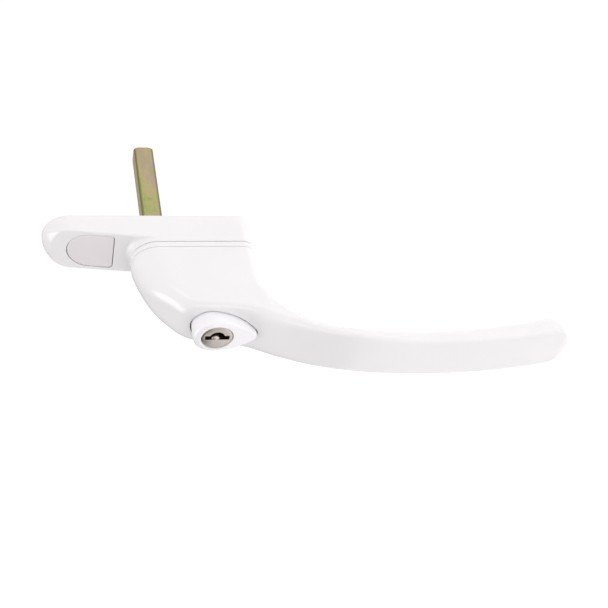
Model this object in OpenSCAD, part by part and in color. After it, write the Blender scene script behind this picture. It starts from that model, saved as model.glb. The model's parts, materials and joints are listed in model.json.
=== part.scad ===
// Inline push-button locking window handle with a square spindle.
// Origin: spindle axis at the base's back face. +Z up the sash, -Y into the room, +Y into the sash.
// "Reach" is the distance out of the sash, towards -Y.

/* [Base] */
// Width of the base across the sash
base_w = 18.6; // [18:0.2:20]
// Spindle axis to the round upper end
base_up = 38.8; // [37:0.2:42]
// Spindle axis to the lower end
base_down = 33.6; // [32.8:0.2:34]
// Reach of the base where the lever turns on it
base_h = 12.4; // [12.2:0.1:13]
// Corner radius of the lower end in plan
base_corner_r = 4.4; // [3:0.2:5]
// Centre distance of the two fixing holes
fixing_pitch = 43; // [43:0.1:43]
// Clear radius of the fixing holes
fixing_r = 2.65; // [2.55:0.05:2.75]

/* [Spindle] */
// Side of the square spindle
spindle_w = 7; // [6.9:0.05:7]
// Spindle length behind the base
spindle_out = 42; // [20:1:60]
// Radius of the lever's hub spigot
spigot_r = 5.9; // [5.8:0.05:5.9]

/* [Lever] */
// Thickness of the foot plate under the neck
foot_t = 2.3; // [2:0.1:2.6]
// Gap between the base and the turning foot plate
turn_gap = 0.3; // [0.2:0.05:0.4]
// Half width of the grip near the lock
grip_half_w = 10.6; // [10.2:0.1:11]
// Spindle axis to the tip of the grip
tip_z = -141; // [-146:0.2:-136]

/* [Lock] */
// Spindle axis down to the lock axis
lock_z = -16.7; // [-17:0.1:-16.4]
// Reach of the button's front face when it is out
button_face = 48.8; // [48.2:0.1:49]
// Travel of the button
button_travel = 5; // [4:0.5:5]
// Radius of the key plug
plug_r = 5.3; // [5:0.1:5.4]
// Radius of the button's barrel
barrel_r = 6.8; // [6.7:0.05:6.9]
// Number of wafers in the plug
wafer_count = 5; // [5:1:5]

/* [Screw cover] */
// Width of the D-shaped screw cover
cover_w = 15.2; // [14.6:0.2:15.4]
// Height of its straight edge above the spindle axis
cover_low = 14.8; // [14:0.1:15]
// Length of the screw cover
cover_len = 15.7; // [15.5:0.1:16]

/* [Hidden] */
$fn = 96;
eps = 0.01;

// Base: the upper half slopes down to the round end
half_w = base_w / 2;
slope = 0.117;
slope_h = 10.7;
tip_round = 4.6;
pocket_half_w = 7.9;
pocket_half_l = 12;
pocket_h = 6;
screw_floor = 4.6;
screw_head_r = 4.7;
screw_well_r = 5.1;
cover_gap = 0.15;
cover_t = 1.8;

// Bearing and detent stack, as reaches from the sash
bush_gap = 0.06;
bush_wall = 1.4;
flange_r = 8.6;
flange_low = 11.6;
flange_top = base_h + 0.1;
spigot_end = 0.6;
spigot_flat = 5;
flat_top = 5.15;
groove_low = 0.9;
groove_top = 1.6;
groove_r = 5.5;
cam_half_w = 6.3;
cam_corner_r = 7;
cam_low = 2.5;
cam_top = 5.05;
leaf_t = 0.5;
roll_pin_r = 1.25;
roll_pin_h = 9;

// Foot plate and neck
foot_low = base_h + turn_gap;
foot_top = foot_low + foot_t;
foot_screw_z = -28.6;
foot_screw_r = 1.3;
hub_top = 26;
seam = 0.02;

// Lock
barrel_gap = 0.06;
barrel_low = 24;
head_low = 41;
latch_low = 27;
latch_top = 30;
latch_half_w = 2.6;
latch_reach = 0.8;
plug_gap = 0.05;
plug_low = 31.2;
plug_face = button_face - 0.3;
pin_r = 1.5;
pin_z = -13;
pin_end = foot_low + 0.5;
tail_r = 2.2;
crank_e = 1.2;
crank_r = 0.7;
wafer_t = 0.9;
wafer_pitch = 2.1;
wafer_first = 35.6;
wafer_half_w = 3.3;
ward_r = 1.6;
ward_x = -1.3;
ward_up = 0.4;
drop_r = 7.2;
drop_z = lock_z + 0.9;
drop_side_r = 20;
drop_len = 14.6;

// Moves drawing in (x, z) out to a reach, with its thickness growing into the room
module out(reach) {
    translate([0, -reach, 0])
        rotate([90, 0, 0])
            children();
}

// Round bar along the reach axis
module rod(r, low, high, z = 0, x = 0) {
    out(low)
        translate([x, z, 0])
            cylinder(r = r, h = high - low);
}

module tube(r_out, r_in, low, high, z = 0) {
    difference() {
        rod(r_out, low, high, z);
        rod(r_in, low - 1, high + 1, z);
    }
}

// Block across x and z, between two reaches
module block(x0, x1, z0, z1, low, high) {
    translate([x0, -high, z0])
        cube([x1 - x0, high - low, z1 - z0]);
}

// Side profile, as [z, reach] points, right across the width
module side_profile(pts) {
    rotate([90, 0, 90])
        translate([0, 0, -base_w])
            linear_extrude(2 * base_w)
                polygon([for (q = pts) [-q[1], q[0]]]);
}

// Plan outline: round upper end, lower end square with rounded corners
module plan(top, bottom, w, corner) {
    translate([0, top - w / 2])
        circle(d = w);
    translate([-w / 2, bottom + corner])
        square([w, top - w / 2 - bottom - corner]);
    translate([-w / 2 + corner, bottom])
        square([w - 2 * corner, corner + 1]);
    for (side = [-1, 1])
        translate([side * (w / 2 - corner), bottom + corner])
            circle(r = corner);
}

// Points of an arc in the plane
function arc(c, r, a0, a1, n = 8) =
    [for (i = [0:n]) c + r * [cos(a0 + (a1 - a0) * i / n), sin(a0 + (a1 - a0) * i / n)]];

// Smooth curve through points, at a position from 0 to the last index
function knot(pts, i) = pts[max(0, min(len(pts) - 1, i))];
function along(pts, s) =
    let(i = min(floor(s), len(pts) - 2), f = s - i)
    let(a = knot(pts, i - 1), b = knot(pts, i), c = knot(pts, i + 1), d = knot(pts, i + 2))
    0.5 * (2 * b + (c - a) * f + (2 * a - 5 * b + 4 * c - d) * f * f + (3 * b - a - 3 * c + d) * f * f * f);

// Closed skin over equal rings of points
module skin(rings) {
    n = len(rings[0]);
    m = len(rings);
    walls = [for (i = [0:m - 2], j = [0:n - 1])
        [i * n + j, i * n + (j + 1) % n, (i + 1) * n + (j + 1) % n, (i + 1) * n + j]];
    split = [for (q = walls) each [[q[0], q[1], q[2]], [q[0], q[2], q[3]]]];
    ends = [[for (j = [n - 1:-1:0]) j], [for (j = [0:n - 1]) (m - 1) * n + j]];
    polyhedron([for (r = rings) each r], concat(split, ends), convexity = 6);
}

// Coil spring along the reach axis
module coil(r, wire_r, low, high, turns, x, z, sides = 6) {
    steps = turns * 16;
    pitch = (high - low - 2 * wire_r) / turns;
    skin([for (i = [0:steps])
        let(a = i * 360 / 16, reach = low + wire_r + pitch * i / 16)
        [for (j = [0:sides - 1])
            let(b = j * 360 / sides, rr = r + wire_r * cos(b))
            [x + rr * cos(a), -(reach + wire_r * sin(b)), z + rr * sin(a)]]]);
}

// Base body
module base_solid() {
    tip_c = [base_up - tip_round, slope_h - slope * (base_up - tip_round) - tip_round];
    intersection() {
        out(0)
            linear_extrude(base_h + 2)
                plan(base_up, -base_down, base_w, base_corner_r);
        side_profile(concat([[0, 0], [base_up, 0]], arc(tip_c, tip_round, 0, 83, 10), [[0, slope_h]]));
    }
    out(0)
        linear_extrude(base_h)
            plan(half_w, -base_down, base_w, base_corner_r);
}

module cover_plan(grow) {
    r = cover_w / 2 + grow;
    top = cover_low + cover_len;
    corner = 1.4;
    translate([0, top - cover_w / 2])
        circle(r = r);
    translate([-r, cover_low - grow + corner])
        square([2 * r, top - cover_w / 2 - cover_low + grow - corner]);
    translate([-r + corner, cover_low - grow])
        square([2 * (r - corner), 3]);
    for (side = [-1, 1])
        translate([side * (r - corner), cover_low - grow + corner])
            circle(r = corner);
}

module fixing_hole(z) {
    rod(fixing_r, -1, base_h, z);
    out(screw_floor - 2.1)
        translate([0, z, 0])
            cylinder(r1 = fixing_r, r2 = screw_head_r, h = 2.1 + eps);
}

module base_plate() {
    color("white")
        difference() {
            base_solid();
            for (z = [-fixing_pitch / 2, fixing_pitch / 2])
                fixing_hole(z);
            rod(screw_well_r, screw_floor, base_h + 1, -fixing_pitch / 2);
            out(screw_floor)
                linear_extrude(base_h)
                    cover_plan(cover_gap);
            rod(spigot_r + bush_gap + bush_wall, -1, base_h + 1);
            rod(flange_r + 0.05, flange_low, base_h + 1);
            block(-pocket_half_w, pocket_half_w, -9, 9, -1, pocket_h);
            for (side = [-1, 1])
                block(side * cam_half_w - 0.3 + side * 0.3, side * cam_half_w + 0.3 + side * 0.3,
                    -pocket_half_l, pocket_half_l, -1, pocket_h);
            rod(pin_r + 0.15, base_h - 5.4, base_h + 1, pin_z);
        }
}

module bearing_bush() {
    color("ivory")
        difference() {
            union() {
                rod(spigot_r + bush_gap + bush_wall, pocket_h + 0.1, flange_top);
                rod(flange_r, flange_low, flange_top);
            }
            rod(spigot_r + bush_gap, 0, base_h + 1);
        }
}

module detent_springs() {
    color("silver")
        for (side = [-1, 1])
            translate([side * (cam_half_w + 0.05 + leaf_t / 2), 0, 0])
                block(-leaf_t / 2, leaf_t / 2, -pocket_half_l + 0.1, pocket_half_l - 0.1, cam_low, cam_top);
}

// Slab that follows the base's sloping face, from a depth below it up to the face
module slope_slab(t) {
    side_profile([[0, slope_h - t], [base_up, slope_h - slope * base_up - t],
        [base_up, slope_h - slope * base_up], [0, slope_h]]);
}

module screw_cover() {
    color("whitesmoke") {
        intersection() {
            out(1)
                linear_extrude(base_h)
                    cover_plan(0);
            slope_slab(cover_t);
        }
        intersection() {
            for (side = [-1, 1])
                block(side * 6.5 - 0.6, side * 6.5 + 0.6, 16.5, 22, screw_floor + 0.1, base_h);
            slope_slab(base_h);
        }
    }
}

// Lever: the neck and the grip are one skin over sections that fan round the elbow.
// Each section joins a front point and a rear point, given as [z, reach].
front = [[9.3, foot_top], [9, 19.2], [7.1, 25.3], [3.9, 31.6], [-0.9, 36.9], [-6.7, 41.9], [-15.5, 43.6],
    [-26.4, 45.3], [-37.8, 50.2], [-51.6, 54.7], [-67.8, 58.1], [-88, 60], [-108, 59.6], [-126, 57.8],
    [tip_z + 4.4, 56.2], [tip_z + 1.8, 55.6], [tip_z + 0.4, 55], [tip_z, 54.5]];
rear = [[-base_down, foot_top], [-base_down, 18.4], [-base_down, 21.4], [-33.7, 24.4], [-34, 27.8],
    [-34.6, 31.8], [-36.5, 35.8], [-39.5, 40.2], [-45.2, 44.8], [-55.4, 49], [-69.9, 51], [-88, 51.5],
    [-107, 50.4], [-124.5, 48.2], [tip_z + 7.8, 46.5], [tip_z + 6.2, 46.8], [tip_z + 4.4, 48], [tip_z + 2.4, 49.6]];
// Half width, front corner [across, deep], rear corner [across, deep] along the same positions
half = [half_w, half_w, 9.4, 9.5, 9.7, 10, grip_half_w - 0.2, grip_half_w, grip_half_w - 0.2, 10, 9.4, 8.7, 8.8, 8.9,
    8.7, 6.7, 4.4, 1.4];
front_corner = [[9.3, 9.3], [9.3, 9.3], [9.2, 8.6], [8, 7], [6, 5.6], [6, 5.6], [6.3, 5.4], [5.4, 4.2],
    [4, 3], [2.2, 1.7], [1.5, 1.2], [1.3, 1.1], [1.3, 1.1], [1.3, 1.1], [1.6, 1.2],
    [2, 1.3], [2.2, 1.4], [0.5, 1.5]];
rear_corner = [[4.4, 4.4], [4.4, 4.4], [4.4, 4.4], [4.6, 4.4], [5, 4.4], [5.4, 4.4], [6, 4.6], [7, 4.8],
    [8.4, 5], [10, 5], [9.4, 5], [8.7, 5.2], [8.8, 5.2], [8.9, 5.2],
    [8.7, 5], [7.4, 4.6], [4.6, 4], [0.6, 3.4]];

function section(s, n = 6) =
    let(f = along(front, s), r = along(rear, s), w = along(half, s))
    let(fc = along(front_corner, s), rc = along(rear_corner, s), long = norm(f - r))
    let(fx = min(fc[0], w), rx = min(rc[0], w), fv = min(fc[1], long * 0.6), rv = min(rc[1], long - fv - 0.05))
    let(a = [for (i = [0:n]) [w - fx + fx * cos(i * 90 / n), long - fv + fv * sin(i * 90 / n)]])
    let(b = [for (i = [0:n]) [w - rx + rx * sin(i * 90 / n), rv - rv * cos(i * 90 / n)]])
    let(right = concat([for (q = b) q], [for (q = a) q]))
    let(left = [for (q = right) [-max(seam, q[0]), q[1]]])
    let(back = [for (i = [len(right) - 1:-1:0]) [max(seam, right[i][0]), right[i][1]]])
    [for (q = concat(left, back))
        let(zp = r + (f - r) * q[1] / long)
        [q[0], -zp[1], zp[0]]];

module lever_skin() {
    last = len(front) - 1;
    skin([for (s = [0:0.5:last]) section(s)]);
}

// Outline of the push button: round above, pointed below
module drop_plan(grow) {
    translate([0, drop_z])
        circle(r = drop_r + grow);
    intersection() {
        translate([drop_r - drop_side_r, drop_z])
            circle(r = drop_side_r + grow);
        translate([drop_side_r - drop_r, drop_z])
            circle(r = drop_side_r + grow);
        translate([0, drop_z])
            circle(r = drop_len + grow);
        translate([-drop_r - 1, drop_z - 30])
            square([2 * drop_r + 2, 30]);
    }
}

module spigot() {
    difference() {
        rod(spigot_r, spigot_end, foot_top + 2);
        for (side = [-1, 1])
            translate([side * (spigot_flat + 3), 0, 0])
                block(-3, 3, -8, 8, 0, flat_top);
        tube(spigot_r + 1, groove_r, groove_low, groove_top);
    }
}

module lever() {
    color("white")
        difference() {
            union() {
                lever_skin();
                spigot();
            }
            block(-spindle_w / 2 - 0.05, spindle_w / 2 + 0.05, -spindle_w / 2 - 0.05, spindle_w / 2 + 0.05,
                -1, hub_top - 1);
            rod(barrel_r + barrel_gap, foot_top - 1, head_low, lock_z);
            out(head_low - button_travel - 0.3)
                linear_extrude(20)
                    drop_plan(0.3);
            block(-barrel_r - latch_reach - 0.15, 0, lock_z - latch_half_w - 0.15, lock_z + latch_half_w + 0.15,
                latch_low - button_travel - 0.2, latch_top + 0.2);
            rod(foot_screw_r, foot_top - 1, foot_top + 6, foot_screw_z);
            rotate([0, 90, 0])
                translate([0, -roll_pin_h, -10])
                    cylinder(r = roll_pin_r, h = 20);
        }
}

module foot_plate() {
    color("white")
        difference() {
            out(foot_low)
                linear_extrude(foot_t)
                    plan(half_w, -base_down, base_w, base_corner_r);
            rod(spigot_r + 0.05, foot_low - 1, foot_top + 1);
            rod(pin_r + 0.08, foot_low - 1, foot_top + 1, pin_z);
            rod(foot_screw_r + 0.1, foot_low - 1, foot_top + 1, foot_screw_z);
            rod(2.5, foot_low - 1, foot_low + 1.3, foot_screw_z);
        }
}

module foot_plate_screw() {
    color("silver")
        difference() {
            union() {
                rod(2.4, foot_low + 0.15, foot_low + 1.3, foot_screw_z);
                rod(foot_screw_r, foot_low + 1.2, foot_top + 5, foot_screw_z);
            }
            for (turn = [0, 90])
                translate([0, 0, foot_screw_z])
                    rotate([0, turn, 0])
                        block(-1.5, 1.5, -0.25, 0.25, foot_low, foot_low + 0.75);
        }
}

module spindle() {
    whole = spindle_out + hub_top;
    color("darkkhaki")
        difference() {
            intersection() {
                block(-spindle_w / 2, spindle_w / 2, -spindle_w / 2, spindle_w / 2, -spindle_out, hub_top - 1.2);
                rod(4.7, -spindle_out, hub_top - 1);
                out(-spindle_out)
                    cylinder(r1 = spindle_w / 2 + 0.5, r2 = spindle_w / 2 + 0.5 + whole, h = whole);
            }
            rotate([0, 90, 0])
                translate([0, -roll_pin_h, -10])
                    cylinder(r = roll_pin_r, h = 20);
        }
}

module spindle_roll_pin() {
    color("dimgray")
        rotate([0, 90, 0])
            translate([0, -roll_pin_h, -5.5])
                difference() {
                    cylinder(r = roll_pin_r, h = 11);
                    translate([0, 0, -1])
                        cylinder(r = 0.7, h = 13);
                }
}

module double_d(grow) {
    intersection() {
        circle(r = spigot_r + grow);
        square([2 * (spigot_flat + grow), 4 * spigot_r], center = true);
    }
}

module detent_cam() {
    color("gray")
        out(cam_low)
            linear_extrude(cam_top - cam_low)
                difference() {
                    intersection() {
                        square(2 * cam_half_w, center = true);
                        circle(r = cam_corner_r);
                    }
                    double_d(0.03);
                }
}

module wave_washer() {
    color("silver")
        tube(7.3, spigot_r + 0.1, 5.3, 5.8);
}

module retaining_washer() {
    color("silver")
        out(groove_top + 0.1)
            linear_extrude(0.75)
                difference() {
                    circle(r = 7.3);
                    double_d(0.05);
                }
}

module circlip() {
    color("dimgray")
        out(groove_low + 0.05)
            linear_extrude(groove_top - groove_low - 0.1)
                difference() {
                    circle(r = 6.9);
                    circle(r = groove_r + 0.05);
                    translate([-2.2, 0])
                        square([4.4, 10]);
                }
}

// Lock button: pointed head and round barrel in one casting
module lock_button() {
    color("white")
        difference() {
            union() {
                out(head_low)
                    linear_extrude(button_face - head_low)
                        drop_plan(0);
                rod(barrel_r, barrel_low, head_low + 1, lock_z);
            }
            rod(plug_r + plug_gap, plug_low - 0.1, button_face + 1, lock_z);
            rod(tail_r + 0.1, latch_top - eps, plug_low, lock_z);
            block(-10, 10, lock_z - latch_half_w - 0.1, lock_z + latch_half_w + 0.1, latch_low, latch_top);
            rod(pin_r, barrel_low - 1, latch_low + eps, pin_z);
            retaining_pin_rod(0.6, 10);
        }
}

module retaining_pin_rod(r, half_len) {
    rotate([0, 90, 0])
        translate([-(lock_z - plug_r + 0.1), -33.4, -half_len])
            cylinder(r = r, h = 2 * half_len);
}

module plug_retaining_pin() {
    color("silver")
        retaining_pin_rod(0.6, 3.6);
}

module locking_pin() {
    color("silver") {
        rod(pin_r, pin_end + 0.6, latch_low - 0.1, pin_z);
        out(pin_end)
            translate([0, pin_z, 0])
                cylinder(r1 = pin_r - 0.5, r2 = pin_r, h = 0.6 + eps);
    }
}

module button_spring() {
    color("silver")
        coil(6.1, 0.35, foot_top + 0.1, barrel_low - 0.1, 4, 0, lock_z);
}

// Keyway: a slot along z that arches over a round ward
module keyway() {
    difference() {
        union() {
            square([1.9, 8.3], center = true);
            translate([0.3, 0])
                circle(r = 2.5);
        }
        translate([ward_x, ward_up])
            circle(r = ward_r);
        translate([-3.95, -3])
            square([3, 6]);
    }
}

function wafer_reach(i) = wafer_first + wafer_pitch * i;

module lock_plug() {
    color("tan")
        difference() {
            rod(plug_r, plug_low, plug_face, lock_z);
            out(plug_low + 3.4)
                linear_extrude(20)
                    translate([0, lock_z])
                        keyway();
            for (i = [0:wafer_count - 1])
                block(-wafer_half_w - 0.05, wafer_half_w + 0.05, lock_z - 6, lock_z + 6,
                    wafer_reach(i) - 0.05, wafer_reach(i) + wafer_t + 0.05);
            tube(plug_r + 1, plug_r - 0.75, 32.7, 34.1, lock_z);
            rod(tail_r - 0.4, plug_low - 1, plug_low + 1.5, lock_z);
        }
}

module plug_tail() {
    color("peru") {
        rod(tail_r - 0.4, plug_low - 0.2, plug_low + 1.4, lock_z);
        rod(tail_r, latch_top + 0.1, plug_low - 0.1, lock_z);
        rod(crank_r, latch_low + 0.3, latch_top + 0.2, lock_z + crank_e * cos(45), -crank_e * sin(45));
    }
}

module wafer(i) {
    color("goldenrod")
        out(wafer_reach(i))
            linear_extrude(wafer_t)
                translate([0, lock_z])
                    difference() {
                        intersection() {
                            circle(r = plug_r - 0.05);
                            translate([-wafer_half_w, -6])
                                square([2 * wafer_half_w, 10.6]);
                        }
                        translate([-2.1, -4.35])
                            square([4.9, 8.6]);
                    }
}

module wafer_springs() {
    color("silver")
        for (i = [0:wafer_count - 1])
            translate([-1, -wafer_reach(i) - wafer_t / 2, lock_z + 4.6])
                cylinder(r = 0.35, h = 0.25);
}

module latch_slide() {
    color("silver")
        difference() {
            block(-barrel_r - latch_reach, 3.4, lock_z - latch_half_w, lock_z + latch_half_w,
                latch_low + 0.1, latch_top - 0.1);
            translate([-crank_e * sin(45), 0, 0])
                block(-crank_r - 0.12, crank_r + 0.12, lock_z, lock_z + 2.1, latch_low, latch_top);
        }
}

module latch_spring() {
    color("silver")
        translate([3.5, -(latch_low + latch_top) / 2, lock_z])
            rotate([0, 90, 0])
                difference() {
                    cylinder(r = 1, h = 2.8);
                    translate([0, 0, -1])
                        cylinder(r = 0.6, h = 6);
                }
}

base_plate();
bearing_bush();
detent_springs();
screw_cover();
lever();
foot_plate();
foot_plate_screw();
spindle();
spindle_roll_pin();
detent_cam();
wave_washer();
retaining_washer();
circlip();
lock_button();
locking_pin();
button_spring();
plug_retaining_pin();
lock_plug();
plug_tail();
wafer(0);  // wafer_1
wafer(1);  // wafer_2
wafer(2);  // wafer_3
wafer(3);  // wafer_4
wafer(4);  // wafer_5
wafer_springs();
latch_slide();
latch_spring();
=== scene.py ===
"""Visual model of an inline locking window handle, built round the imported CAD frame.

Shapes are worked out in millimetres in the row frame: +Z up the sash, -Y into the room.
"Reach" is the distance out of the sash, towards -Y.
"""
import json
import math

import bmesh
import bpy
from mathutils import Matrix, Vector


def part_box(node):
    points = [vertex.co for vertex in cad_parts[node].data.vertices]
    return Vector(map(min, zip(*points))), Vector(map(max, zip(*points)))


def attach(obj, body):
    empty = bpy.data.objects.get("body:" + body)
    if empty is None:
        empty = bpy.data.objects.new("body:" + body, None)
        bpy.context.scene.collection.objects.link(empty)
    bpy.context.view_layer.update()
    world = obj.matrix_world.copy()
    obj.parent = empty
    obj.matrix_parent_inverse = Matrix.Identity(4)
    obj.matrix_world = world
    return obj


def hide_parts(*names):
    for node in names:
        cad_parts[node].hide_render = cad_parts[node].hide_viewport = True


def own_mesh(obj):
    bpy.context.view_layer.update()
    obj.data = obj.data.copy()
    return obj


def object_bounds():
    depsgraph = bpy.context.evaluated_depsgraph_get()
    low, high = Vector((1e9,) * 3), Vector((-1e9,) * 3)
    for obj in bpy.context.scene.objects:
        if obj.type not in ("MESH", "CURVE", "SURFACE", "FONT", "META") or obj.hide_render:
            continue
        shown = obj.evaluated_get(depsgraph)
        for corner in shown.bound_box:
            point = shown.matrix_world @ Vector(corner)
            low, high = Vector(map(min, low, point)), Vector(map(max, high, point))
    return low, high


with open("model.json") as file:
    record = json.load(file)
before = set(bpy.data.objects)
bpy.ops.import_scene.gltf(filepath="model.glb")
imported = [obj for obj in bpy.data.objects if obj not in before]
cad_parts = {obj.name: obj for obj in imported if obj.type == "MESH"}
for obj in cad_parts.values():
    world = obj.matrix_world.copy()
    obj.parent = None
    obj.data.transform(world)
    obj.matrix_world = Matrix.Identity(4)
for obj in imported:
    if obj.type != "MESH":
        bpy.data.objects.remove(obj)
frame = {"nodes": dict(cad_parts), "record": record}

cad_low, cad_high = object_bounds()
MM = 0.001


def mm_box(node):
    """A CAD node's lowest and highest corners in millimetres."""
    low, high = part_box(node)
    return low / MM, high / MM


# ---------------------------------------------------------------- sizes from the frame
base_lo, base_hi = mm_box("base_plate")
foot_lo, foot_hi = mm_box("foot_plate")
lever_lo = mm_box("lever")[0]
cover_lo, cover_hi = mm_box("screw_cover")
button_lo, button_hi = mm_box("lock_button")
plug_lo, plug_hi = mm_box("lock_plug")
spindle_lo, spindle_hi = mm_box("spindle")
bush_hi = mm_box("bearing_bush")[1]
coil_lo, coil_hi = mm_box("button_spring")

HALF_W = base_hi.x
BASE_UP = base_hi.z
BASE_DOWN = -base_lo.z
BASE_H = -base_lo.y
FOOT_LOW = -foot_hi.y
FOOT_TOP = -foot_lo.y
TIP_Z = lever_lo.z
PLUG_R = plug_hi.x
LOCK_Z = (plug_lo.z + plug_hi.z) / 2
PLUG_FACE = -plug_lo.y
PLUG_LOW = -plug_hi.y
BUTTON_FACE = -button_lo.y
BARREL_LOW = -button_hi.y
DROP_R = button_hi.x
SPINDLE_W = spindle_hi.x
CORNER_R = 4.4
SLOPE = 0.117
SLOPE_H = 10.7
SPIGOT_R = 5.9
SPIGOT_END = 0.6
FIXING_Z = 21.5
FIXING_R = 2.65
SCREW_FLOOR = 4.6
HEAD_LOW = 41
BARREL_R = 6.8
PIN_Z = -13
PIN_R = 1.5
DROP_Z = button_hi.z - DROP_R
DROP_SIDE_R = 20
DROP_TIP_R = 2.2
WARD_X = -1.3
WARD_UP = 0.4
LATCH_LOW = 27
LATCH_TOP = 30
LATCH_HALF = 2.6


# ---------------------------------------------------------------- mesh helpers
SHARP_ANGLE = 32.0


def new_object(name, verts, faces):
    """A mesh object from points in millimetres, smooth apart from its sharp edges."""
    mesh = bpy.data.meshes.new(name)
    mesh.from_pydata([(x * MM, y * MM, z * MM) for x, y, z in verts], [], faces)
    clean(mesh)
    obj = bpy.data.objects.new(name, mesh)
    bpy.context.scene.collection.objects.link(obj)
    return obj


def clean(mesh):
    """Merges doubled points, turns the normals outwards and marks the sharp edges."""
    work = bmesh.new()
    work.from_mesh(mesh)
    bmesh.ops.remove_doubles(work, verts=work.verts, dist=1e-7)
    bmesh.ops.dissolve_degenerate(work, edges=work.edges, dist=1e-7)
    bmesh.ops.recalc_face_normals(work, faces=work.faces)
    work.to_mesh(mesh)
    work.free()
    mesh.shade_smooth()
    mesh.set_sharp_from_angle(angle=math.radians(SHARP_ANGLE))


def grid_faces(columns, rows):
    """Quads between neighbouring columns of points round a ring, each column being rows long."""
    faces = []
    for i in range(columns):
        here, there = i * rows, ((i + 1) % columns) * rows
        faces += [(here + j, there + j, there + j + 1, here + j + 1) for j in range(rows - 1)]
    return faces


def column_solid(name, columns):
    """A closed solid from equal columns of points round a ring, with a flat face over each end."""
    rows = len(columns[0])
    verts = [p for column in columns for p in column]
    faces = grid_faces(len(columns), rows)
    faces.append([i * rows for i in range(len(columns))])
    faces.append([i * rows + rows - 1 for i in reversed(range(len(columns)))])
    return new_object(name, verts, faces)


def prism(outline, low, high, name="cutter"):
    """An outline of (x, z) points from one reach to another."""
    return column_solid(name, [[(x, -low, z), (x, -high, z)] for x, z in outline])


def lathe(name, profile, x=0.0, z=0.0, steps=96):
    """A round piece about the reach axis. The profile is (radius, reach) points."""
    columns = []
    for i in range(steps):
        a = 2 * math.pi * i / steps
        columns.append([(x + r * math.cos(a), -reach, z + r * math.sin(a)) for r, reach in profile])
    return column_solid(name, columns)


def rod(r, low, high, z=0.0):
    return lathe("cutter", [(r, low), (r, high)], 0, z)


def block(x0, x1, z0, z1, low, high):
    return prism([(x0, z0), (x1, z0), (x1, z1), (x0, z1)], low, high)


def combine(obj, others, operation="DIFFERENCE"):
    """Cuts pieces out of an object, or joins them to it, and removes them."""
    for other in others:
        mod = obj.modifiers.new("combine", "BOOLEAN")
        mod.operation = operation
        mod.solver = "EXACT"
        mod.object = other
        bpy.context.view_layer.update()
        graph = bpy.context.evaluated_depsgraph_get()
        made = bpy.data.meshes.new_from_object(obj.evaluated_get(graph))
        obj.modifiers.clear()
        old = obj.data
        obj.data = made
        bpy.data.meshes.remove(old)
        bpy.data.objects.remove(other)
    clean(obj.data)
    return obj


def bevel(obj, width):
    """Rounds every corner edge."""
    mod = obj.modifiers.new("bevel", "BEVEL")
    mod.width = width * MM
    mod.segments = 2
    mod.limit_method = "ANGLE"
    mod.angle_limit = math.radians(35.0)
    mod.use_clamp_overlap = True
    bpy.context.view_layer.update()
    graph = bpy.context.evaluated_depsgraph_get()
    made = bpy.data.meshes.new_from_object(obj.evaluated_get(graph))
    obj.modifiers.clear()
    obj.data = made
    clean(obj.data)
    return obj


def arc_points(cx, cz, r, a0, a1, steps):
    return [(cx + r * math.cos(math.radians(a0 + (a1 - a0) * i / steps)),
             cz + r * math.sin(math.radians(a0 + (a1 - a0) * i / steps))) for i in range(steps + 1)]


def dedupe(points):
    """Drops a point that repeats the one before it, all round the loop."""
    kept = []
    for p in points:
        if not kept or math.dist(p, kept[-1]) > 1e-6:
            kept.append(p)
    if math.dist(kept[0], kept[-1]) < 1e-6:
        kept.pop()
    return kept


def line_points(p, q, steps):
    return [(p[0] + (q[0] - p[0]) * i / steps, p[1] + (q[1] - p[1]) * i / steps) for i in range(steps + 1)]


def smoothstep(t):
    t = max(0.0, min(1.0, t))
    return t * t * (3 - 2 * t)


def finish_piece(obj, body, slot, material, *nodes):
    """Gives a piece its body and material, and hides the CAD nodes that it stands for."""
    obj.data.materials.clear()
    obj.data.materials.append(material)
    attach(obj, body)
    if nodes:
        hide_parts(*nodes)
    return obj


# ---------------------------------------------------------------- materials
def node_tree(name):
    material = bpy.data.materials.new(name)
    material.use_nodes = True
    tree = material.node_tree
    shader = tree.nodes["Principled BSDF"]
    coords = tree.nodes.new("ShaderNodeTexCoord")
    return material, tree, shader, coords.outputs["Object"]


def noise_node(tree, vector, scale, detail=3.0, rough=0.5):
    node = tree.nodes.new("ShaderNodeTexNoise")
    node.inputs["Scale"].default_value = scale
    node.inputs["Detail"].default_value = detail
    node.inputs["Roughness"].default_value = rough
    tree.links.new(vector, node.inputs["Vector"])
    return node.outputs["Fac"]


def ramp_node(tree, fac, stops):
    node = tree.nodes.new("ShaderNodeValToRGB")
    ramp = node.color_ramp
    while len(ramp.elements) < len(stops):
        ramp.elements.new(0.5)
    for element, (place, colour) in zip(ramp.elements, stops):
        element.position = place
        element.color = (*colour, 1.0)
    tree.links.new(fac, node.inputs["Fac"])
    return node.outputs["Color"]


def range_node(tree, fac, low, high):
    node = tree.nodes.new("ShaderNodeMapRange")
    node.inputs["From Min"].default_value = 0.3
    node.inputs["From Max"].default_value = 0.7
    node.inputs["To Min"].default_value = low
    node.inputs["To Max"].default_value = high
    tree.links.new(fac, node.inputs["Value"])
    return node.outputs["Result"]


def bump_node(tree, shader, height, strength, distance):
    node = tree.nodes.new("ShaderNodeBump")
    node.inputs["Strength"].default_value = strength
    node.inputs["Distance"].default_value = distance
    tree.links.new(height, node.inputs["Height"])
    tree.links.new(node.outputs["Normal"], shader.inputs["Normal"])


def stretched(tree, vector, scale):
    node = tree.nodes.new("ShaderNodeMapping")
    node.inputs["Scale"].default_value = scale
    tree.links.new(vector, node.inputs["Vector"])
    return node.outputs["Vector"]


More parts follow.
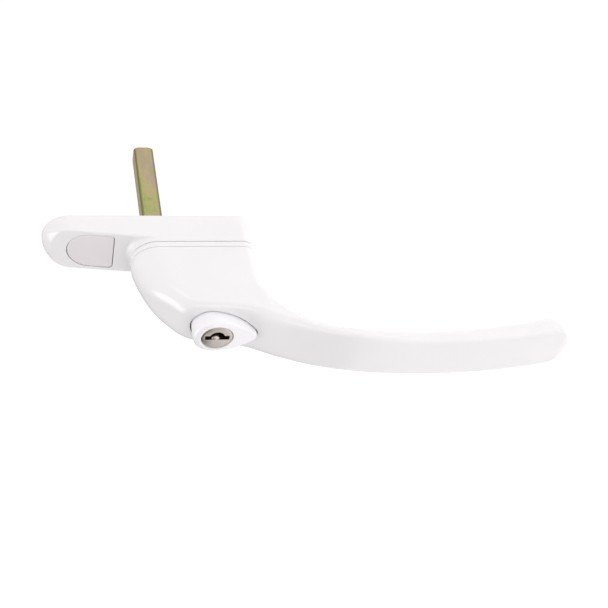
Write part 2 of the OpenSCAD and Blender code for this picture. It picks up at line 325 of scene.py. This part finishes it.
def coat_material(name, dark, light, rough=(0.2, 0.27), coat=0.35, peel=0.05):
    """Gloss coating: a faint colour drift, a fine orange peel and a clear top layer."""
    material, tree, shader, vector = node_tree(name)
    drift = noise_node(tree, vector, 45.0, 2.0)
    tree.links.new(ramp_node(tree, drift, [(0.3, dark), (0.7, light)]), shader.inputs["Base Color"])
    tree.links.new(range_node(tree, noise_node(tree, vector, 260.0, 4.0), *rough), shader.inputs["Roughness"])
    bump_node(tree, shader, noise_node(tree, vector, 420.0, 2.0), peel, 0.0002)
    shader.inputs["Coat Weight"].default_value = coat
    shader.inputs["Coat Roughness"].default_value = 0.08
    shader.inputs["IOR"].default_value = 1.5
    return material


def metal_material(name, dark, light, rough=(0.25, 0.4), grain=(400.0, 30.0, 400.0), peel=0.12):
    """Plated or drawn metal: streaks along one axis, with uneven gloss."""
    material, tree, shader, vector = node_tree(name)
    streaks = noise_node(tree, stretched(tree, vector, grain), 1.0, 5.0, 0.6)
    patches = noise_node(tree, vector, 160.0, 3.0)
    tree.links.new(ramp_node(tree, patches, [(0.3, dark), (0.7, light)]), shader.inputs["Base Color"])
    tree.links.new(range_node(tree, streaks, *rough), shader.inputs["Roughness"])
    bump_node(tree, shader, streaks, peel, 0.0001)
    shader.inputs["Metallic"].default_value = 1.0
    return material


def math_node(tree, operation, first, second=None):
    node = tree.nodes.new("ShaderNodeMath")
    node.operation = operation
    for place, value in enumerate((first, second)):
        if value is None:
            continue
        if isinstance(value, (int, float)):
            node.inputs[place].default_value = value
        else:
            tree.links.new(value, node.inputs[place])
    return node.outputs["Value"]


def passivate_material(name):
    """Yellow passivated zinc: blotches of gold, olive and rose, darker brown along the bar's edges."""
    material, tree, shader, vector = node_tree(name)
    bands = noise_node(tree, stretched(tree, vector, (420.0, 90.0, 420.0)), 1.0, 4.0, 0.6)
    colour = ramp_node(tree, bands, [
        (0.34, (0.30, 0.38, 0.13)), (0.43, (0.42, 0.41, 0.16)), (0.50, (0.46, 0.38, 0.20)),
        (0.57, (0.45, 0.33, 0.25)), (0.66, (0.36, 0.37, 0.17))])
    place = tree.nodes.new("ShaderNodeSeparateXYZ")
    tree.links.new(vector, place.inputs["Vector"])
    across = math_node(tree, "MINIMUM", math_node(tree, "ABSOLUTE", place.outputs["X"]),
                       math_node(tree, "ABSOLUTE", place.outputs["Z"]))
    edge = tree.nodes.new("ShaderNodeMapRange")
    edge.inputs["From Min"].default_value = (SPINDLE_W - 1.0) * MM
    edge.inputs["From Max"].default_value = (SPINDLE_W - 0.3) * MM
    tree.links.new(across, edge.inputs["Value"])
    # mixes the colour towards dark brown near the bar's long edges
    edge_darkening = tree.nodes.new("ShaderNodeMix")
    edge_darkening.data_type = "RGBA"
    edge_darkening.inputs["B"].default_value = (0.17, 0.11, 0.06, 1.0)
    tree.links.new(math_node(tree, "MULTIPLY", edge.outputs["Result"], 0.85), edge_darkening.inputs["Factor"])
    tree.links.new(colour, edge_darkening.inputs["A"])
    tree.links.new(edge_darkening.outputs["Result"], shader.inputs["Base Color"])
    fine = noise_node(tree, vector, 900.0, 4.0, 0.6)
    tree.links.new(range_node(tree, fine, 0.3, 0.5), shader.inputs["Roughness"])
    bump_node(tree, shader, fine, 0.25, 0.0001)
    shader.inputs["Metallic"].default_value = 0.8
    return material


white_coat = coat_material("white_coat", (0.83, 0.805, 0.82), (0.85, 0.83, 0.84))
button_coat = coat_material(
    "button_coat", (0.87, 0.85, 0.875), (0.9, 0.88, 0.9), rough=(0.16, 0.22), coat=0.4, peel=0.03)
cover_plastic = coat_material(
    "cover_plastic", (0.75, 0.705, 0.73), (0.79, 0.75, 0.77), rough=(0.34, 0.42), coat=0.0, peel=0.04)
yellow_zinc = passivate_material("yellow_zinc")
zinc_steel = metal_material("zinc_steel", (0.56, 0.57, 0.59), (0.68, 0.69, 0.71))
spring_steel = metal_material("spring_steel", (0.36, 0.36, 0.38), (0.5, 0.5, 0.52), (0.2, 0.35))
nickel = metal_material("nickel", (0.47, 0.42, 0.39), (0.57, 0.52, 0.48), (0.25, 0.38), (60.0, 60.0, 900.0))
shadow_paint = coat_material(
    "shadow_paint", (0.012, 0.010, 0.010), (0.02, 0.018, 0.018), rough=(0.7, 0.8), coat=0.0)
brass = metal_material("brass", (0.66, 0.48, 0.22), (0.78, 0.6, 0.3))
nylon = coat_material("nylon", (0.8, 0.78, 0.7), (0.85, 0.83, 0.76), (0.5, 0.6), 0.0, 0.1)
SLOT_MATERIAL = {
    "white_coat": white_coat, "button_coat": button_coat, "cover_plastic": cover_plastic,
    "yellow_zinc": yellow_zinc, "zinc_steel": zinc_steel, "spring_steel": spring_steel,
    "nickel": nickel, "brass": brass, "nylon": nylon,
}
for part in frame["record"]["subparts"]:
    node = frame["nodes"][part["node"]]
    for place in node.material_slots:
        place.material = SLOT_MATERIAL[part["material_slot"]]


# ---------------------------------------------------------------- base
def slope_height(z):
    """Reach of the upper half's sloping face."""
    return SLOPE_H - SLOPE * z


def lower_outline():
    """Outline of the lower half from the left side round to the right."""
    c = CORNER_R
    bottom = -BASE_DOWN
    points = line_points((-HALF_W, 0), (-HALF_W, bottom + c), 24)
    points += arc_points(-HALF_W + c, bottom + c, c, 180, 270, 14)
    points += line_points((-HALF_W + c, bottom), (HALF_W - c, bottom), 10)
    points += arc_points(HALF_W - c, bottom + c, c, 270, 360, 14)
    points += line_points((HALF_W, bottom + c), (HALF_W, 0), 24)
    return points


def plan_outline():
    """Outline of the foot: a half circle over the lower half's outline."""
    return dedupe(arc_points(0, 0, HALF_W, 0, 180, 72) + lower_outline())


TOP_ROUND = 0.2
BOTTOM_ROUND = 0.25
FOOT_ROWS = 8
SLOPE_ROWS = 10
EDGE_ROWS = 8
WALL_ROWS = 4


def top_round_rows(inner, unit, top):
    """The small rounded edge where the lever turns on the base."""
    rows = []
    for k in range(4):
        a = math.radians(30 * k)
        back = TOP_ROUND * (1 - math.sin(a))
        reach = top - TOP_ROUND * (1 - math.cos(a))
        rows.append((inner[0] - unit[0] * back, -reach, inner[1] - unit[1] * back))
    return rows


def upper_column(outer, edge_r):
    """Top of the boss, down its wall, over the foot fillet and the slope, and down the outer wall."""
    far = math.hypot(*outer)
    unit = (outer[0] / far, outer[1] / far)
    span = max(far - HALF_W, 0.0)
    foot_r = min(1.9, 0.45 * span)
    edge = min(edge_r, 0.5 * span + 0.02)
    at = lambda t: ((HALF_W + t) * unit[0], (HALF_W + t) * unit[1])
    rows = top_round_rows(at(0), unit, BASE_H)
    for k in range(FOOT_ROWS + 1):
        a = math.radians(90 * k / FOOT_ROWS)
        x, z = at(foot_r * (1 - math.cos(a)))
        rows.append((x, -min(slope_height(z) + foot_r * (1 - math.sin(a)), BASE_H - TOP_ROUND - 0.02), z))
    for k in range(1, SLOPE_ROWS + 1):
        x, z = at(foot_r + (span - edge - foot_r) * k / SLOPE_ROWS)
        rows.append((x, -slope_height(z), z))
    for k in range(1, EDGE_ROWS + 1):
        a = math.radians(90 * k / EDGE_ROWS)
        x, z = at(span - edge + edge * math.sin(a))
        rows.append((x, -(slope_height(z) - edge * (1 - math.cos(a))), z))
    wall_top = -rows[-1][1]
    return rows + wall_rows(at(span), unit, wall_top, WALL_ROWS)


def wall_rows(point, unit, top, count):
    """Straight down to the sash, ending in a small rounded edge."""
    rows = []
    for k in range(1, count + 1):
        rows.append((point[0], -(top + (BOTTOM_ROUND - top) * k / count), point[1]))
    for k in (1, 2):
        a = math.radians(45 * k)
        back = BOTTOM_ROUND * (1 - math.cos(a))
        rows.append((point[0] - unit[0] * back, -BOTTOM_ROUND * (1 - math.sin(a)), point[1] - unit[1] * back))
    return rows


def outline_normal(points, i):
    """Outward direction at a point of a loop that runs anticlockwise."""
    a, b = points[i - 1], points[(i + 1) % len(points)]
    dx, dz = b[0] - a[0], b[1] - a[1]
    size = math.hypot(dx, dz)
    return dz / size, -dx / size


def base_columns():
    columns = []
    centre = BASE_UP - HALF_W
    side = line_points((HALF_W, 0.15), (HALF_W, centre), 44)
    for x, z in side[:-1]:
        columns.append(upper_column((x, z), 0.9))
    for k in range(73):
        a = math.radians(180 * k / 72)
        edge = 0.9 + 3.6 * math.sin(a) ** 2
        columns.append(upper_column((HALF_W * math.cos(a), centre + HALF_W * math.sin(a)), edge))
    for x, z in reversed(side[:-1]):
        columns.append(upper_column((-x, z), 0.9))
    loop = plan_outline()
    rows = len(columns[0])
    for i, (x, z) in enumerate(loop):
        if z > -1e-6:
            continue
        unit = outline_normal(loop, i)
        column = top_round_rows((x, z), unit, BASE_H)
        columns.append(column + wall_rows((x, z), unit, BASE_H - TOP_ROUND, rows - 6))
    return columns


def cover_outline(grow):
    """D-shaped outline: a half circle above, a straight edge with small corners below."""
    r = cover_hi.x + grow
    centre = cover_hi.z - cover_hi.x
    low = cover_lo.z - grow
    corner = 1.4
    points = arc_points(0, centre, r, 0, 180, 60)
    points += line_points((-r, centre), (-r, low + corner), 8)
    points += arc_points(-r + corner, low + corner, corner, 180, 270, 10)
    points += line_points((-r + corner, low), (r - corner, low), 10)
    points += arc_points(r - corner, low + corner, corner, 270, 360, 10)
    points += line_points((r, low + corner), (r, centre), 8)
    return dedupe(points)


def make_base():
    base = column_solid("base_casting", base_columns())
    countersink = [(FIXING_R, -1), (FIXING_R, 2.5), (4.7, SCREW_FLOOR), (4.7, SCREW_FLOOR + 0.1)]
    hub_r = bush_hi.x - 1.24
    bush_r = bush_hi.x + 0.05
    cuts = [prism(cover_outline(0.22), SCREW_FLOOR, 20)]
    for z in (FIXING_Z, -FIXING_Z):
        cuts.append(lathe("cutter", countersink, 0, z))
    cuts.append(rod(5.1, SCREW_FLOOR, 20, -FIXING_Z))
    cuts.append(lathe("cutter", [(hub_r, 1), (hub_r, 11.6), (bush_r, 11.6), (bush_r, 20)]))
    cuts.append(bevel(block(-7.9, 7.9, -9, 9, -1, 6), 0.8))
    for side in (-1, 1):
        cuts.append(block(side * 6.6 - 0.3, side * 6.6 + 0.3, -12, 12, -1, 5.9))
    cuts.append(rod(PIN_R + 0.15, BASE_H - 5.4, 20, PIN_Z))
    combine(base, cuts)
    return finish_piece(base, "base", "white_coat", white_coat, "base_plate")


def make_cover():
    """A lid that follows the slope, with a softened rim and two snap legs."""
    rim = 0.35
    thick = 1.8
    angles = [math.radians(18 * k) for k in range(6)]
    outlines = [cover_outline(-rim * (1 - math.sin(a))) for a in angles]
    columns = []
    for ring in zip(*outlines):
        column = [(x, -(slope_height(z) - rim * (1 - math.cos(a))), z) for (x, z), a in zip(ring, angles)]
        x, z = ring[-1]
        column.append((x, -(slope_height(z) - thick), z))
        columns.append(column)
    cover = column_solid("screw_cap", columns)
    legs = []
    for side in (-1, 1):
        leg = block(side * 6.5 - 0.6, side * 6.5 + 0.6, 16.5, 22, SCREW_FLOOR + 0.1, 7.9)
        legs.append(bevel(leg, 0.15))
    combine(cover, legs, "UNION")
    return finish_piece(cover, "cover", "cover_plastic", cover_plastic, "screw_cover")


# ---------------------------------------------------------------- lever
# The neck and grip are one skin over sections that fan round the elbow. Each section joins a front
# point and a rear point, given as (z, reach).
FRONT = [(9.3, FOOT_TOP), (9, 19.2), (7.1, 25.3), (3.9, 31.6), (-0.9, 36.9), (-6.7, 41.9),
         (-15.5, 43.6), (-26.4, 45.3), (-37.8, 50.2), (-51.6, 54.7), (-67.8, 58.1), (-88, 60),
         (-108, 59.6), (-126, 57.8), (TIP_Z + 4.4, 56.2), (TIP_Z + 1.8, 55.6), (TIP_Z + 0.4, 55),
         (TIP_Z, 54.5)]
REAR = [(-BASE_DOWN, FOOT_TOP), (-BASE_DOWN, 18.4), (-BASE_DOWN, 21.4), (-33.7, 24.4), (-34, 27.8),
        (-34.6, 31.8), (-36.5, 35.8), (-39.5, 40.2), (-45.2, 44.8), (-55.4, 49), (-69.9, 51),
        (-88, 51.5), (-107, 50.4), (-124.5, 48.2), (TIP_Z + 7.8, 46.5), (TIP_Z + 6.2, 46.8),
        (TIP_Z + 4.4, 48), (TIP_Z + 2.4, 49.6)]
HALF = [(w,) for w in (HALF_W, HALF_W, 9.4, 9.5, 9.7, 10, 10.4, 10.6, 10.4, 10, 9.4, 8.7, 8.8, 8.9,
                      8.7, 6.7, 4.4, 1.4)]
# Corner roundings as (across, deep), at the front and at the rear
FRONT_CORNER = [(9.3, 9.3), (9.3, 9.3), (9.2, 8.6), (8, 7), (6, 5.6), (6, 5.6), (6.3, 5.4), (5.4, 4.2),
                (4, 3), (2.2, 1.7), (1.5, 1.2), (1.3, 1.1), (1.3, 1.1), (1.3, 1.1), (1.6, 1.2),
                (2, 1.3), (2.2, 1.4), (0.5, 1.5)]
REAR_CORNER = [(4.4, 4.4), (4.4, 4.4), (4.4, 4.4), (4.6, 4.4), (5, 4.4), (5.4, 4.4), (6, 4.6), (7, 4.8),
               (8.4, 5), (10, 5), (9.4, 5), (8.7, 5.2), (8.8, 5.2), (8.9, 5.2), (8.7, 5), (7.4, 4.6),
               (4.6, 4), (0.6, 3.4)]


def along(points, s):
    """Smooth curve through points, at a position from 0 to the last index."""
    i = min(int(s), len(points) - 2)
    f = s - i
    pick = lambda k: points[max(0, min(len(points) - 1, k))]
    a, b, c, d = pick(i - 1), pick(i), pick(i + 1), pick(i + 2)
    smooth = []
    for p, q, r, t in zip(a, b, c, d):
        square = (2 * p - 5 * q + 4 * r - t) * f * f
        cube = (3 * q - p - 3 * r + t) * f ** 3
        smooth.append(0.5 * (2 * q + (r - p) * f + square + cube))
    return smooth


CORNER_STEPS = 12
FLAT_STEPS = 5


def lever_section(s):
    """Points round one section of the lever: up its left side, over the front and down the right."""
    front, rear = along(FRONT, s), along(REAR, s)
    w = along(HALF, s)[0]
    fx, fv = along(FRONT_CORNER, s)
    rx, rv = along(REAR_CORNER, s)
    long = math.dist(front, rear)
    fx, rx = min(fx, w), min(rx, w)
    fv = min(fv, long * 0.6)
    rv = min(rv, long - fv - 0.05)
    crown = 0.25 * smoothstep((s - 7) / 3)
    half = []
    for k in range(CORNER_STEPS + 1):
        a = math.radians(90 * k / CORNER_STEPS)
        half.append((w - rx + rx * math.sin(a), rv - rv * math.cos(a)))
    for k in range(1, FLAT_STEPS):
        half.append((w, rv + (long - fv - rv) * k / FLAT_STEPS))
    for k in range(CORNER_STEPS + 1):
        a = math.radians(90 * k / CORNER_STEPS)
        half.append((w - fx + fx * math.cos(a), long - fv + fv * math.sin(a)))
    for k in range(1, FLAT_STEPS):
        x = (w - fx) * (1 - k / FLAT_STEPS)
        half.append((x, long))
    half = [(x, v - crown * (x / w) ** 2 * (v / long)) for x, v in half]
    left = [(-max(x, 0.01), v) for x, v in half]
    right = [(max(x, 0.01), v) for x, v in reversed(half)]
    points = []
    for x, v in left + right:
        z = rear[0] + (front[0] - rear[0]) * v / long
        reach = rear[1] + (front[1] - rear[1]) * v / long
        points.append((x, -reach, z))
    return points


def lever_stations():
    """Positions along the skin, closest together round the tip."""
    last = len(FRONT) - 1
    return [k / 10 for k in range(10 * (last - 4))] + [last - 4 + k / 8 for k in range(8 * 4 + 1)]


def drop_outline(grow):
    """Button outline: round above, sides in long arcs, a small round point below."""
    r, big, small = DROP_R + grow, DROP_SIDE_R + grow, DROP_TIP_R + grow
    off = DROP_SIDE_R - DROP_R
    tip_z = DROP_Z - math.sqrt((DROP_SIDE_R - DROP_TIP_R) ** 2 - off ** 2)
    turn = math.degrees(math.asin((DROP_Z - tip_z) / (DROP_SIDE_R - DROP_TIP_R)))
    points = arc_points(0, DROP_Z, r, 0, 180, 60)
    points += arc_points(off, DROP_Z, big, 180, 180 + turn, 24)
    points += arc_points(0, tip_z, small, 180 + turn, 360 - turn, 20)
    points += arc_points(-off, DROP_Z, big, 360 - turn, 360, 24)
    return dedupe(points)


# Fine groove between the neck and its foot plate, as (inset, height)
SEAM = [(0.4, 0.01), (0.4, 0.16), (0.1, 0.16), (0.03, 0.22), (0, 0.36)]


def narrowed(ring, inset, reach):
    """The neck's lowest section drawn in by an inset, at a reach."""
    middle = (HALF_W - BASE_DOWN) / 2
    points = []
    for x, _, z in ring:
        dx, dz = x, z - middle
        scale_x = (HALF_W - inset) / HALF_W
        scale_z = ((HALF_W + BASE_DOWN) / 2 - inset) / ((HALF_W + BASE_DOWN) / 2)
        points.append((dx * scale_x, -reach, middle + dz * scale_z))
    return points


def make_lever():
    rings = [lever_section(s) for s in lever_stations()]
    rings = [narrowed(rings[0], inset, FOOT_TOP + rise) for inset, rise in SEAM] + rings[1:]
    columns = [[ring[j] for ring in rings] for j in range(len(rings[0]))]
    lever = column_solid("lever_casting", columns)
    slot = LATCH_HALF + 0.15
    cuts = [
        prism(drop_outline(0.4), HEAD_LOW - 5.3, 70),
        rod(BARREL_R + 0.06, FOOT_TOP - 1, HEAD_LOW, LOCK_Z),
        block(-7.75, 0, LOCK_Z - slot, LOCK_Z + slot, LATCH_LOW - 5.2, LATCH_TOP + 0.2),
        block(-3.55, 3.55, -3.55, 3.55, FOOT_TOP - 1, 25),
    ]
    combine(lever, cuts)
    return finish_piece(lever, "lever", "white_coat", white_coat, "lever")


def make_spigot():
    """The hub below the neck, with two flats for the detent and a groove for the circlip."""
    profile = [(SPIGOT_R - 0.2, SPIGOT_END), (SPIGOT_R, SPIGOT_END + 0.2), (SPIGOT_R, 0.9), (5.5, 0.9),
               (5.5, 1.6), (SPIGOT_R, 1.6), (SPIGOT_R, FOOT_TOP)]
    spigot = lathe("hub_spigot", profile)
    cuts = [block(-3.55, 3.55, -3.55, 3.55, -1, 30)]
    for side in (-1, 1):
        cuts.append(block(side * 8 - 3, side * 8 + 3, -9, 9, 0, 5.15))
    combine(spigot, cuts)
    return finish_piece(spigot, "lever", "white_coat", white_coat)


def make_foot():
    """The thin foot plate that closes the neck and turns on the base."""
    loop = plan_outline()
    columns = []
    low_r, top_r = 0.2, 0.12
    for i, (x, z) in enumerate(loop):
        nx, nz = outline_normal(loop, i)
        column = []
        for k in range(4):
            a = math.radians(30 * k)
            back = low_r * (1 - math.sin(a))
            column.append((x - nx * back, -(FOOT_LOW + low_r * (1 - math.cos(a))), z - nz * back))
        for k in range(4):
            a = math.radians(30 * k)
            back = top_r * (1 - math.cos(a))
            column.append((x - nx * back, -(FOOT_TOP - top_r * (1 - math.sin(a))), z - nz * back))
        columns.append(column)
    foot = column_solid("neck_foot", columns)
    screw_z = -28.6
    cuts = [
        rod(SPIGOT_R + 0.05, 1, 30),
        rod(PIN_R + 0.1, 1, 30, PIN_Z),
        rod(1.4, 1, 30, screw_z),
        rod(2.5, 1, FOOT_LOW + 1.3, screw_z),
    ]
    combine(foot, cuts)
    return finish_piece(foot, "lever", "white_coat", white_coat, "foot_plate")


# ---------------------------------------------------------------- spindle
def spindle_end(x, z):
    """Reach at which a point of the bar meets its cone-turned end."""
    return -spindle_hi.y + max(0.1, math.hypot(x, z) - SPINDLE_W - 0.4)


def make_spindle():
    """Square bar with eased corners, a cone-turned end and a small punch mark."""
    half = SPINDLE_W
    ease = 0.5
    inner = half - ease
    loop = []
    for corner in range(4):
        turn = lambda x, z: [(x, z), (-z, x), (-x, -z), (z, -x)][corner]
        loop += [turn(half, z) for _, z in line_points((half, -inner), (half, inner), 12)]
        loop += [turn(inner + ease * math.cos(math.radians(a)), inner + ease * math.sin(math.radians(a)))
                 for a in (15, 30, 45, 60, 75)]
    columns = []
    for x, z in loop:
        column = [(x * 0.9, spindle_lo.y, z * 0.9), (x, spindle_lo.y + 0.3, z)]
        column += [(x, y, z) for y in (-10, 0, 10, 20, 30)]
        for scale in (1.0, 0.94, 0.86, 0.76):
            sunk = 0.1 if scale < 0.9 else 0.0
            column.append((x * scale, -spindle_end(x * scale, z * scale) + sunk, z * scale))
        columns.append(column)
    spindle = column_solid("spindle_bar", columns)
    dot = bpy.data.meshes.new("cutter")
    work = bmesh.new()
    bmesh.ops.create_icosphere(work, subdivisions=3, radius=0.85 * MM)
    bmesh.ops.translate(work, verts=work.verts, vec=Vector((half + 0.5, 14.2, 0.2)) * MM)
    work.to_mesh(dot)
    work.free()
    punch = bpy.data.objects.new("cutter", dot)
    bpy.context.scene.collection.objects.link(punch)
    combine(spindle, [punch])
    return finish_piece(spindle, "lever", "yellow_zinc", yellow_zinc, "spindle")


# ---------------------------------------------------------------- lock
def make_button():
    """Pointed push button: a crowned face round the plug, a rounded rim, and the barrel behind."""
    outline = drop_outline(0.0)
    rim = 1.1
    hole = PLUG_R + 0.12
    crown = 0.2
    columns = []
    for x, z in outline:
        dx, dz = x, z - LOCK_Z
        far = math.hypot(dx, dz)
        ux, uz = dx / far, dz / far
        at = lambda r, reach: (ux * r, -reach, LOCK_Z + uz * r)
        column = [at(hole, PLUG_LOW - 0.1), at(hole, 40), at(hole, BUTTON_FACE - 0.5)]
        column += [at(hole + 0.05, BUTTON_FACE - 0.25), at(hole + 0.2, BUTTON_FACE - 0.03)]
        span = far - rim - hole - 0.2
        for k in range(1, 9):
            t = k / 8
            column.append(at(hole + 0.2 + span * t, BUTTON_FACE - 0.03 - crown * t * t))
        for k in range(1, 8):
            a = math.radians(90 * k / 7)
            drop = crown + rim * (1 - math.cos(a))
            column.append(at(far - rim + rim * math.sin(a), BUTTON_FACE - 0.03 - drop))
        column += [at(far, 44), at(far, HEAD_LOW + 0.2), at(far - 0.2, HEAD_LOW), at(BARREL_R, HEAD_LOW)]
        column += [at(BARREL_R, 35), at(BARREL_R, BARREL_LOW + 0.4), at(BARREL_R - 0.4, BARREL_LOW)]
        columns.append(column)
    button = column_solid("push_button", columns)
    cuts = [
        block(-10, 10, LOCK_Z - LATCH_HALF - 0.1, LOCK_Z + LATCH_HALF + 0.1, LATCH_LOW, LATCH_TOP),
        rod(2.3, LATCH_TOP - 0.01, PLUG_LOW + 1, LOCK_Z),
        rod(PIN_R, BARREL_LOW - 1, LATCH_LOW + 0.1, PIN_Z),
    ]
    combine(button, cuts)
    return finish_piece(button, "button", "button_coat", button_coat, "lock_button")


def make_plug():
    """Key plug: chamfered rim, a keyway whose slot arches over a round ward, and wafer slots."""
    groove = PLUG_R - 0.75
    profile = [(PLUG_R - 0.3, PLUG_LOW), (PLUG_R, PLUG_LOW + 0.3), (PLUG_R, 32.7), (groove, 32.7),
               (groove, 34.1), (PLUG_R, 34.1), (PLUG_R, PLUG_FACE - 0.35), (PLUG_R - 0.12, PLUG_FACE - 0.1),
               (PLUG_R - 0.4, PLUG_FACE)]
    plug = lathe("key_plug", profile, 0, LOCK_Z, 128)
    half_slot = 0.95
    arch = []
    for k in range(60):
        a = math.radians(6 * k)
        arch.append((max(0.3 + 2.5 * math.cos(a), 0.6 - half_slot), LOCK_Z + 2.5 * math.sin(a)))
    cuts = [block(-half_slot, half_slot, LOCK_Z - 4.15, LOCK_Z + 4.15, 34.6, 60)]
    cuts.append(prism(dedupe(arch), 34.6, 60))
    for k in range(5):
        reach = 35.6 + 2.1 * k
        cuts.append(block(-3.35, 3.35, LOCK_Z - 6, LOCK_Z + 6, reach - 0.05, reach + 0.95))
    combine(plug, cuts)
    ward = [(1.6, 34.4), (1.6, PLUG_FACE - 0.9), (1.45, PLUG_FACE - 0.5), (1.15, PLUG_FACE - 0.22),
            (0.7, PLUG_FACE - 0.06), (0.25, PLUG_FACE)]
    combine(plug, [lathe("cutter", ward, WARD_X, LOCK_Z + WARD_UP, 48)], "UNION")
    finish_piece(plug, "plug", "nickel", nickel, "lock_plug")
    plug.data.materials.append(shadow_paint)
    for face in plug.data.polygons:
        x, reach, z = face.center.x / MM, -face.center.y / MM, face.center.z / MM - LOCK_Z
        near_ward = math.hypot(x - WARD_X, z - WARD_UP) < 1.62 and reach > PLUG_FACE - 1
        if reach < PLUG_FACE - 0.3 and math.hypot(x, z) < PLUG_R - 0.8 and not near_ward:
            face.material_index = 1
    return plug


def helix(name, r, wire, length, turns, place, steps=28):
    """Compression spring with its end turns wound close.

    place() sets a point from its distance along the spring and its two offsets from the axis.
    """
    count = int(turns * steps)
    sides = 12
    columns = [[] for _ in range(sides)]
    for i in range(count + 1):
        t = i / count
        a = 2 * math.pi * turns * t
        along = wire + (length - 2 * wire) * smoothstep(t)
        for j in range(sides):
            b = 2 * math.pi * j / sides
            rr = r + wire * math.cos(b)
            columns[j].append(place(along + wire * math.sin(b), rr * math.cos(a), rr * math.sin(a)))
    return column_solid(name, columns)


def make_button_spring():
    length = coil_hi.y - coil_lo.y
    spring = helix("return_spring", 6.1, 0.35, length, 5, lambda t, u, v: (u, coil_hi.y - t, LOCK_Z + v))
    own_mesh(spring)
    return finish_piece(spring, "lever", "spring_steel", spring_steel, "button_spring")


def make_latch_spring():
    lo, hi = mm_box("latch_spring")
    length, y = hi.x - lo.x, (lo.y + hi.y) / 2
    spring = helix("latch_coil", 0.86, 0.13, length, 5, lambda t, u, v: (hi.x - t, y + u, LOCK_Z + v))
    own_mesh(spring)
    return finish_piece(spring, "button", "spring_steel", spring_steel, "latch_spring")


make_base()
make_cover()
make_lever()
make_spigot()
make_foot()
make_spindle()
make_button()
make_plug()
make_button_spring()
make_latch_spring()


# ---------------------------------------------------------------- stage, light and camera
def emission_material(name, colour, strength):
    material = bpy.data.materials.new(name)
    material.use_nodes = True
    shader = material.node_tree.nodes["Principled BSDF"]
    shader.inputs["Base Color"].default_value = (*colour, 1.0)
    shader.inputs["Roughness"].default_value = 0.9
    shader.inputs["Emission Color"].default_value = (*colour, 1.0)
    shader.inputs["Emission Strength"].default_value = strength
    return material


def make_floor():
    size = 4000
    z = TIP_Z - 90
    corners = [(-size, -size, z), (size, -size, z), (size, size, z), (-size, size, z)]
    floor = new_object("floor", corners, [(0, 1, 2, 3)])
    floor.data.materials.append(emission_material("pale_floor", (0.95, 0.95, 0.95), 0.41))


CENTRE = (cad_low + cad_high) / 2
SKY_UP = (0.75, 0.6, 0.28)
SKY_LOW = 0.1
SKY_HIGH = 1.05
CAM_AZIMUTH = 48.54
CAM_ELEVATION = 14.05
CAM_ROLL = -90.8
CAM_DISTANCE = 0.46
CAM_TARGET = Vector((-0.0071, -0.0277, -0.0514))


def direction(azimuth, elevation):
    a, e = math.radians(azimuth), math.radians(elevation)
    return Vector((math.sin(a) * math.cos(e), -math.cos(a) * math.cos(e), math.sin(e)))


def make_camera():
    data = bpy.data.cameras.new("camera")
    data.lens = 77.0
    data.sensor_width = 36.0
    camera = bpy.data.objects.new("camera", data)
    bpy.context.scene.collection.objects.link(camera)
    back = direction(CAM_AZIMUTH, CAM_ELEVATION)
    upright = (-back).to_track_quat("-Z", "Y").to_matrix()
    turn = Matrix.Rotation(math.radians(CAM_ROLL), 3, "Z")
    place = Matrix.Translation(CAM_TARGET + back * CAM_DISTANCE)
    camera.matrix_world = place @ (upright @ turn).to_4x4()
    bpy.context.scene.camera = camera
    return camera


def area_light(name, azimuth, elevation, distance, size, power, size_y=None):
    data = bpy.data.lights.new(name, "AREA")
    data.energy = power
    data.size = size
    if size_y:
        data.shape = "RECTANGLE"
        data.size_y = size_y
    light = bpy.data.objects.new(name, data)
    bpy.context.scene.collection.objects.link(light)
    back = direction(azimuth, elevation)
    light.location = CENTRE + back * distance
    light.rotation_mode = "QUATERNION"
    light.rotation_quaternion = back.to_track_quat("Z", "Y")
    return light


def make_world():
    world = bpy.data.worlds.new("studio")
    bpy.context.scene.world = world
    world.use_nodes = True
    tree = world.node_tree
    seen = tree.nodes["Background"]
    seen.inputs["Color"].default_value = (1, 1, 1, 1)
    seen.inputs["Strength"].default_value = 1.05
    lit = tree.nodes.new("ShaderNodeBackground")
    lit.inputs["Color"].default_value = (1, 1, 1, 1)
    coords = tree.nodes.new("ShaderNodeTexCoord")
    tilt = tree.nodes.new("ShaderNodeVectorMath")
    tilt.operation = "DOT_PRODUCT"
    tilt.inputs[1].default_value = SKY_UP
    tree.links.new(coords.outputs["Generated"], tilt.inputs[0])
    fade = tree.nodes.new("ShaderNodeMapRange")
    fade.inputs["From Min"].default_value = -1.0
    fade.inputs["From Max"].default_value = 1.0
    fade.inputs["To Min"].default_value = SKY_LOW
    fade.inputs["To Max"].default_value = SKY_HIGH
    tree.links.new(tilt.outputs["Value"], fade.inputs["Value"])
    tree.links.new(fade.outputs["Result"], lit.inputs["Strength"])
    path = tree.nodes.new("ShaderNodeLightPath")
    mix = tree.nodes.new("ShaderNodeMixShader")
    tree.links.new(path.outputs["Is Camera Ray"], mix.inputs["Fac"])
    tree.links.new(lit.outputs["Background"], mix.inputs[1])
    tree.links.new(seen.outputs["Background"], mix.inputs[2])
    tree.links.new(mix.outputs["Shader"], tree.nodes["World Output"].inputs["Surface"])


make_world()
make_floor()
make_camera()
area_light("side_box", 103, 24, 0.9, 0.34, 0.5)
area_light("edge_strip", 20, -4, 0.9, 0.05, 1.3, size_y=0.9)
area_light("top_box", -36, 62, 0.8, 0.42, 2.2, size_y=0.6)
bpy.context.scene.view_settings.view_transform = "Standard"
